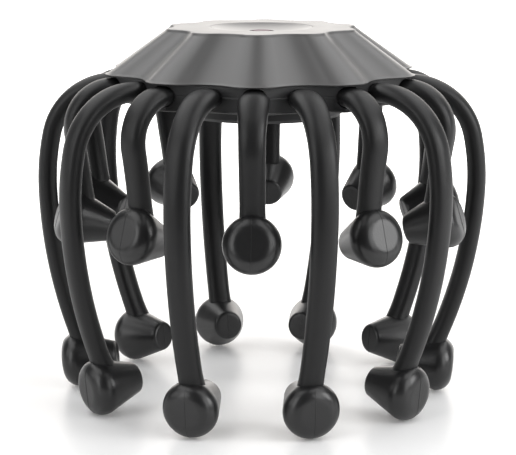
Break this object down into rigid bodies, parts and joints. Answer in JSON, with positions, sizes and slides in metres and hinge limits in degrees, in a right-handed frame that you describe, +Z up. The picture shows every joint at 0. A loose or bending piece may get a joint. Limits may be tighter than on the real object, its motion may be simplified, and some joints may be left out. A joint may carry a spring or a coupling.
{
  "type": "electric scalp massager",
  "caption": "Hand-held electric scalp massager: a fluted round hub with a dished top button, and alternating long and short curved flexible arms ending in cork-shaped massage heads.",
  "frame": {"origin": "centre of the ring of arms, on the surface the long heads stand on", "axes": "+Z up through the hub's round panel, -Y towards the front short arm, +Y towards the charging port, +X to the right seen from the front"},
  "size_m": [0.1812, 0.1734, 0.1487],
  "materials": {
    "arm_silicone": "matte",
    "head_silicone": "matte",
    "cover_plastic": "satin",
    "panel_plastic": "satin",
    "ring_lens": "smoked translucent",
    "button_plastic": "satin",
    "housing_plastic": "fine matte",
    "inner_plastic": "moulded",
    "switch_metal": "stamped",
    "board": "solder mask",
    "motor_steel": "drawn",
    "rotor_steel": "ground",
    "weight_brass": "sintered",
    "battery_film": "shrink film",
    "port_metal": "plated",
    "screw_steel": "plated",
    "wire": "insulation"
  },
  "bodies": {
    "hub": {"top_cover": "cover_plastic", "control_panel": "panel_plastic", "light_ring": "ring_lens", "tact_switch": "switch_metal", "circuit_board": "board", "arm_clamp_ring": "housing_plastic", "lower_housing": "housing_plastic", "base_cover": "housing_plastic", "chassis": "inner_plastic", "motor_can": "motor_steel", "motor_strap": "inner_plastic", "battery": "battery_film", "charge_board": "board", "charge_port": "port_metal", "case_screws": "screw_steel", "inner_screws": "screw_steel", "leads": "wire"},
    "button": {"power_button": "button_plastic"},
    "rotor": {"motor_rotor": "rotor_steel", "eccentric_weight": "weight_brass"},
    "long_arm_01": {"long_arm_01": "arm_silicone", "long_head_01": "head_silicone"},
    "long_arm_02": {"long_arm_02": "arm_silicone", "long_head_02": "head_silicone"},
    "long_arm_03": {"long_arm_03": "arm_silicone", "long_head_03": "head_silicone"},
    "long_arm_04": {"long_arm_04": "arm_silicone", "long_head_04": "head_silicone"},
    "long_arm_05": {"long_arm_05": "arm_silicone", "long_head_05": "head_silicone"},
    "long_arm_06": {"long_arm_06": "arm_silicone", "long_head_06": "head_silicone"},
    "long_arm_07": {"long_arm_07": "arm_silicone", "long_head_07": "head_silicone"},
    "long_arm_08": {"long_arm_08": "arm_silicone", "long_head_08": "head_silicone"},
    "long_arm_09": {"long_arm_09": "arm_silicone", "long_head_09": "head_silicone"},
    "long_arm_10": {"long_arm_10": "arm_silicone", "long_head_10": "head_silicone"},
    "short_arm_01": {"short_arm_01": "arm_silicone", "short_head_01": "head_silicone"},
    "short_arm_02": {"short_arm_02": "arm_silicone", "short_head_02": "head_silicone"},
    "short_arm_03": {"short_arm_03": "arm_silicone", "short_head_03": "head_silicone"},
    "short_arm_04": {"short_arm_04": "arm_silicone", "short_head_04": "head_silicone"},
    "short_arm_05": {"short_arm_05": "arm_silicone", "short_head_05": "head_silicone"},
    "short_arm_06": {"short_arm_06": "arm_silicone", "short_head_06": "head_silicone"},
    "short_arm_07": {"short_arm_07": "arm_silicone", "short_head_07": "head_silicone"},
    "short_arm_08": {"short_arm_08": "arm_silicone", "short_head_08": "head_silicone"},
    "short_arm_09": {"short_arm_09": "arm_silicone", "short_head_09": "head_silicone"},
    "short_arm_10": {"short_arm_10": "arm_silicone", "short_head_10": "head_silicone"}
  },
  "joints": [
    {"name": "button_press", "type": "slide", "parent": "hub", "child": "button", "axis": [0, 0, -1], "range_m": [0, 0.0007], "stiffness_N_per_m": 900},
    {"name": "rotor_spin", "type": "hinge", "parent": "hub", "child": "rotor", "pos_m": [0, 0, 0.13128], "axis": [1, 0, 0], "continuous": true},
    {"name": "long_arm_01_flex", "type": "hinge", "parent": "hub", "child": "long_arm_01", "pos_m": [0.01783, -0.05488, 0.12638], "axis": [-0.9511, -0.309, 0], "range_deg": [-5, 12], "stiffness_Nm_per_rad": 0.8},
    {"name": "long_arm_02_flex", "type": "hinge", "parent": "hub", "child": "long_arm_02", "pos_m": [0.04668, -0.03392, 0.12638], "axis": [-0.5878, -0.809, 0], "range_deg": [-5, 12], "stiffness_Nm_per_rad": 0.8},
    {"name": "long_arm_03_flex", "type": "hinge", "parent": "hub", "child": "long_arm_03", "pos_m": [0.0577, 0, 0.12638], "axis": [0, -1, 0], "range_deg": [-5, 12], "stiffness_Nm_per_rad": 0.8},
    {"name": "long_arm_04_flex", "type": "hinge", "parent": "hub", "child": "long_arm_04", "pos_m": [0.04668, 0.03392, 0.12638], "axis": [0.5878, -0.809, 0], "range_deg": [-5, 12], "stiffness_Nm_per_rad": 0.8},
    {"name": "long_arm_05_flex", "type": "hinge", "parent": "hub", "child": "long_arm_05", "pos_m": [0.01783, 0.05488, 0.12638], "axis": [0.9511, -0.309, 0], "range_deg": [-5, 12], "stiffness_Nm_per_rad": 0.8},
    {"name": "long_arm_06_flex", "type": "hinge", "parent": "hub", "child": "long_arm_06", "pos_m": [-0.01783, 0.05488, 0.12638], "axis": [0.9511, 0.309, 0], "range_deg": [-5, 12], "stiffness_Nm_per_rad": 0.8},
    {"name": "long_arm_07_flex", "type": "hinge", "parent": "hub", "child": "long_arm_07", "pos_m": [-0.04668, 0.03392, 0.12638], "axis": [0.5878, 0.809, 0], "range_deg": [-5, 12], "stiffness_Nm_per_rad": 0.8},
    {"name": "long_arm_08_flex", "type": "hinge", "parent": "hub", "child": "long_arm_08", "pos_m": [-0.0577, 0, 0.12638], "axis": [0, 1, 0], "range_deg": [-5, 12], "stiffness_Nm_per_rad": 0.8},
    {"name": "long_arm_09_flex", "type": "hinge", "parent": "hub", "child": "long_arm_09", "pos_m": [-0.04668, -0.03392, 0.12638], "axis": [-0.5878, 0.809, 0], "range_deg": [-5, 12], "stiffness_Nm_per_rad": 0.8},
    {"name": "long_arm_10_flex", "type": "hinge", "parent": "hub", "child": "long_arm_10", "pos_m": [-0.01783, -0.05488, 0.12638], "axis": [-0.9511, 0.309, 0], "range_deg": [-5, 12], "stiffness_Nm_per_rad": 0.8},
    {"name": "short_arm_01_flex", "type": "hinge", "parent": "hub", "child": "short_arm_01", "pos_m": [0, -0.0604, 0.12638], "axis": [-1, 0, 0], "range_deg": [-5, 12], "stiffness_Nm_per_rad": 0.9},
    {"name": "short_arm_02_flex", "type": "hinge", "parent": "hub", "child": "short_arm_02", "pos_m": [0.0355, -0.04886, 0.12638], "axis": [-0.809, -0.5878, 0], "range_deg": [-5, 12], "stiffness_Nm_per_rad": 0.9},
    {"name": "short_arm_03_flex", "type": "hinge", "parent": "hub", "child": "short_arm_03", "pos_m": [0.05744, -0.01866, 0.12638], "axis": [-0.309, -0.9511, 0], "range_deg": [-5, 12], "stiffness_Nm_per_rad": 0.9},
    {"name": "short_arm_04_flex", "type": "hinge", "parent": "hub", "child": "short_arm_04", "pos_m": [0.05744, 0.01866, 0.12638], "axis": [0.309, -0.9511, 0], "range_deg": [-5, 12], "stiffness_Nm_per_rad": 0.9},
    {"name": "short_arm_05_flex", "type": "hinge", "parent": "hub", "child": "short_arm_05", "pos_m": [0.0355, 0.04886, 0.12638], "axis": [0.809, -0.5878, 0], "range_deg": [-5, 12], "stiffness_Nm_per_rad": 0.9},
    {"name": "short_arm_06_flex", "type": "hinge", "parent": "hub", "child": "short_arm_06", "pos_m": [0, 0.0604, 0.12638], "axis": [1, 0, 0], "range_deg": [-5, 12], "stiffness_Nm_per_rad": 0.9},
    {"name": "short_arm_07_flex", "type": "hinge", "parent": "hub", "child": "short_arm_07", "pos_m": [-0.0355, 0.04886, 0.12638], "axis": [0.809, 0.5878, 0], "range_deg": [-5, 12], "stiffness_Nm_per_rad": 0.9},
    {"name": "short_arm_08_flex", "type": "hinge", "parent": "hub", "child": "short_arm_08", "pos_m": [-0.05744, 0.01866, 0.12638], "axis": [0.309, 0.9511, 0], "range_deg": [-5, 12], "stiffness_Nm_per_rad": 0.9},
    {"name": "short_arm_09_flex", "type": "hinge", "parent": "hub", "child": "short_arm_09", "pos_m": [-0.05744, -0.01866, 0.12638], "axis": [-0.309, 0.9511, 0], "range_deg": [-5, 12], "stiffness_Nm_per_rad": 0.9},
    {"name": "short_arm_10_flex", "type": "hinge", "parent": "hub", "child": "short_arm_10", "pos_m": [-0.0355, -0.04886, 0.12638], "axis": [-0.809, 0.5878, 0], "range_deg": [-5, 12], "stiffness_Nm_per_rad": 0.9}
  ]
}
